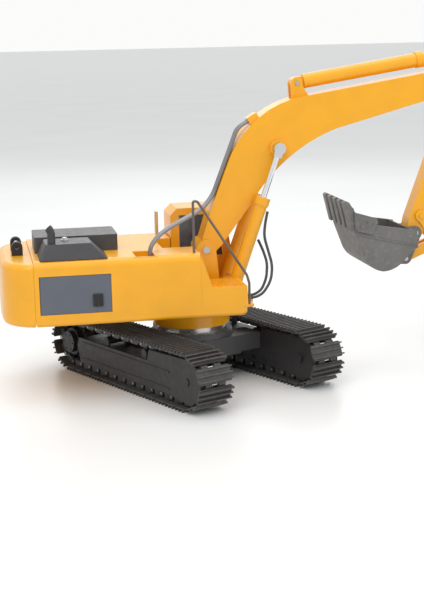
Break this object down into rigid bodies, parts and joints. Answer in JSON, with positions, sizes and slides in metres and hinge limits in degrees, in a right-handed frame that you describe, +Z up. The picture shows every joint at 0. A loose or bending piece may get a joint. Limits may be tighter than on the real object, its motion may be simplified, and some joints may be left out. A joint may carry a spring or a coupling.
{
  "type": "rc excavator",
  "caption": "Radio-controlled tracked excavator model: slewing house with cab, bent boom, stick and toothed bucket worked by rams, on link tracks.",
  "frame": {"origin": "on the swing axis at the flat underside of the belly plate, 29 mm above the ground", "axes": "+X the way the house faces, +Y its left, +Z up along the swing axis; the tracks point 64 degrees to the right of +X"},
  "size_m": [0.5712, 0.3566, 0.3694],
  "materials": {
    "body_yellow": "glossy painted",
    "chassis_black": "satin",
    "chassis_grey": "satin",
    "hood_grey": "satin",
    "pad_grey": "worn",
    "bucket_grey": "satin",
    "tooth_grey": "satin",
    "pin_steel": "turned",
    "rod_chrome": "polished",
    "hose_rubber": "smooth",
    "glass_dark": "tinted",
    "mirror_face": "silvered",
    "board_green": "satin",
    "battery_wrap": "wrap"
  },
  "bodies": {
    "chassis": {"centre_frame": "chassis_grey", "belly_plate": "chassis_grey", "slew_ring": "chassis_black", "track_frame_left": "chassis_black", "track_frame_right": "chassis_black", "track_guard_left": "chassis_black", "track_guard_right": "chassis_black", "track_links_left": "pad_grey", "track_links_right": "pad_grey", "track_pins": "pin_steel", "final_drives": "chassis_black", "bottom_rollers": "chassis_black"},
    "house": {"house_floor": "body_yellow", "house_pins": "pin_steel", "turntable": "body_yellow", "swing_motor": "pin_steel", "body_shell": "body_yellow", "counterweight": "body_yellow", "lifting_lugs": "body_yellow", "air_cleaner_cover": "chassis_black", "engine_hood": "hood_grey", "exhaust_pipe": "chassis_grey", "filler_cap": "pin_steel", "toolbox": "body_yellow", "handrail": "chassis_black", "cab_shell": "body_yellow", "cab_glass": "glass_dark", "driver_seat": "chassis_black", "cab_mirror": "mirror_face", "battery_pack": "battery_wrap", "control_board": "board_green", "ram_hoses": "hose_rubber"},
    "swing_pinion": {"swing_pinion": "pin_steel"},
    "boom": {"boom": "body_yellow", "boom_pins": "pin_steel", "boom_hoses": "hose_rubber"},
    "boom_ram_barrels": {"boom_ram_barrels": "body_yellow"},
    "boom_ram_rods": {"boom_ram_rods": "rod_chrome"},
    "stick": {"stick": "body_yellow", "stick_pins": "pin_steel"},
    "stick_ram_barrel": {"stick_ram_barrel": "body_yellow"},
    "stick_ram_rod": {"stick_ram_rod": "rod_chrome"},
    "bucket": {"bucket": "bucket_grey", "bucket_pins": "pin_steel", "bucket_teeth": "tooth_grey", "side_cutters": "tooth_grey"},
    "rocker": {"rocker": "body_yellow"},
    "bucket_link": {"bucket_link": "body_yellow"},
    "bucket_ram_barrel": {"bucket_ram_barrel": "body_yellow"},
    "bucket_ram_rod": {"bucket_ram_rod": "rod_chrome"},
    "battery_door": {"battery_door": "body_yellow"},
    "door_latch": {"door_latch": "chassis_grey"},
    "sprocket_left": {"sprocket_left": "chassis_black"},
    "idler_left": {"idler_left": "chassis_black"},
    "carrier_roller_rear_left": {"carrier_roller_rear_left": "chassis_black"},
    "carrier_roller_front_left": {"carrier_roller_front_left": "chassis_black"},
    "sprocket_right": {"sprocket_right": "chassis_black"},
    "idler_right": {"idler_right": "chassis_black"},
    "carrier_roller_rear_right": {"carrier_roller_rear_right": "chassis_black"},
    "carrier_roller_front_right": {"carrier_roller_front_right": "chassis_black"}
  },
  "joints": [
    {"name": "swing", "type": "hinge", "parent": "chassis", "child": "house", "pos_m": [0, 0, 0], "axis": [0, 0, 1], "continuous": true},
    {"name": "swing_pinion_spin", "type": "hinge", "parent": "house", "child": "swing_pinion", "pos_m": [-0.01905, 0.011, 0], "axis": [0, 0, 1], "continuous": true},
    {"name": "boom_lift", "type": "hinge", "parent": "house", "child": "boom", "pos_m": [0.0157, 0, 0.1183], "axis": [0, -1, 0], "range_deg": [-20, 6], "deforming": ["boom_hoses", "ram_hoses"]},
    {"name": "boom_ram_swing", "type": "hinge", "parent": "house", "child": "boom_ram_barrels", "pos_m": [0.045, 0, 0.075], "axis": [0, -1, 0], "range_deg": [-17.28, 5.49]},
    {"name": "boom_ram_stroke", "type": "slide", "parent": "boom_ram_barrels", "child": "boom_ram_rods", "axis": [0.3346, 0, 0.9424], "range_m": [-0.01646, 0.00523]},
    {"name": "stick_swing", "type": "hinge", "parent": "boom", "child": "stick", "pos_m": [0.32712, 0, 0.30247], "axis": [0, -1, 0], "range_deg": [-6, 70]},
    {"name": "stick_ram_swing", "type": "hinge", "parent": "boom", "child": "stick_ram_barrel", "pos_m": [0.12403, 0, 0.29855], "axis": [0, -1, 0], "range_deg": [-0.17, 1.6]},
    {"name": "stick_ram_stroke", "type": "slide", "parent": "stick_ram_barrel", "child": "stick_ram_rod", "axis": [0.9886, 0, 0.1504], "range_m": [-0.04169, 0.00438]},
    {"name": "bucket_curl", "type": "hinge", "parent": "stick", "child": "bucket", "pos_m": [0.26058, 0, 0.1245], "axis": [0, -1, 0], "range_deg": [0, 100]},
    {"name": "rocker_swing", "type": "hinge", "parent": "stick", "child": "rocker", "pos_m": [0.26793, 0, 0.14417], "axis": [0, -1, 0], "range_deg": [-1.62, 82.72]},
    {"name": "bucket_link_swing", "type": "hinge", "parent": "rocker", "child": "bucket_link", "pos_m": [0.29112, 0, 0.11281], "axis": [0, -1, 0], "range_deg": [-29.04, 0.57]},
    {"name": "bucket_ram_swing", "type": "hinge", "parent": "stick", "child": "bucket_ram_barrel", "pos_m": [0.35172, 0, 0.27405], "axis": [0, -1, 0], "range_deg": [-3.22, 0.06]},
    {"name": "bucket_ram_stroke", "type": "slide", "parent": "bucket_ram_barrel", "child": "bucket_ram_rod", "axis": [-0.3518, 0, -0.9361], "range_m": [-0.05108, 0.001]},
    {"name": "battery_door_swing", "type": "hinge", "parent": "house", "child": "battery_door", "pos_m": [-0.1721, -0.0829, 0.08], "axis": [0, 0, -1], "range_deg": [0, 80]},
    {"name": "door_latch_turn", "type": "hinge", "parent": "battery_door", "child": "door_latch", "pos_m": [-0.1127, -0.084, 0.082], "axis": [0, -1, 0], "range_deg": [0, 90]},
    {"name": "sprocket_spin_left", "type": "hinge", "parent": "chassis", "child": "sprocket_left", "pos_m": [0.0157, 0.14117, 0.00302], "axis": [0.8988, 0.4384, 0], "continuous": true},
    {"name": "idler_spin_left", "type": "hinge", "parent": "chassis", "child": "idler_left", "pos_m": [0.12091, -0.07454, 0.00302], "axis": [0.8988, 0.4384, 0], "continuous": true},
    {"name": "carrier_spin_rear_left", "type": "hinge", "parent": "chassis", "child": "carrier_roller_rear_left", "pos_m": [0.05165, 0.06747, 0.01914], "axis": [0.8988, 0.4384, 0], "continuous": true},
    {"name": "carrier_spin_front_left", "type": "hinge", "parent": "chassis", "child": "carrier_roller_front_left", "pos_m": [0.08497, -0.00084, 0.01914], "axis": [0.8988, 0.4384, 0], "continuous": true},
    {"name": "sprocket_spin_right", "type": "hinge", "parent": "chassis", "child": "sprocket_right", "pos_m": [-0.12091, 0.07454, 0.00302], "axis": [0.8988, 0.4384, 0], "continuous": true},
    {"name": "idler_spin_right", "type": "hinge", "parent": "chassis", "child": "idler_right", "pos_m": [-0.0157, -0.14117, 0.00302], "axis": [0.8988, 0.4384, 0], "continuous": true},
    {"name": "carrier_spin_rear_right", "type": "hinge", "parent": "chassis", "child": "carrier_roller_rear_right", "pos_m": [-0.08497, 0.00084, 0.01914], "axis": [0.8988, 0.4384, 0], "continuous": true},
    {"name": "carrier_spin_front_right", "type": "hinge", "parent": "chassis", "child": "carrier_roller_front_right", "pos_m": [-0.05165, -0.06747, 0.01914], "axis": [0.8988, 0.4384, 0], "continuous": true}
  ],
  "couplings": [
    {"joint": "swing_pinion_spin", "follows": "swing", "ratio": -4},
    {"joint": "boom_ram_swing", "follows": "boom_lift", "ratio": 0.84228},
    {"joint": "boom_ram_stroke", "follows": "boom_lift", "m_per_rad": 0.04597},
    {"joint": "stick_ram_swing", "follows": "stick_swing", "ratio": 0.022344},
    {"joint": "stick_ram_stroke", "follows": "stick_swing", "m_per_rad": -0.033402},
    {"joint": "rocker_swing", "follows": "bucket_curl", "ratio": 0.81096},
    {"joint": "bucket_link_swing", "follows": "bucket_curl", "ratio": -0.28467},
    {"joint": "bucket_ram_swing", "follows": "bucket_curl", "ratio": -0.031553},
    {"joint": "bucket_ram_stroke", "follows": "bucket_curl", "m_per_rad": -0.02869},
    {"joint": "idler_spin_left", "follows": "sprocket_spin_left", "ratio": 1},
    {"joint": "carrier_spin_rear_left", "follows": "sprocket_spin_left", "ratio": 5.2437},
    {"joint": "carrier_spin_front_left", "follows": "sprocket_spin_left", "ratio": 5.2437},
    {"joint": "idler_spin_right", "follows": "sprocket_spin_right", "ratio": 1},
    {"joint": "carrier_spin_rear_right", "follows": "sprocket_spin_right", "ratio": 5.2437},
    {"joint": "carrier_spin_front_right", "follows": "sprocket_spin_right", "ratio": 5.2437}
  ]
}
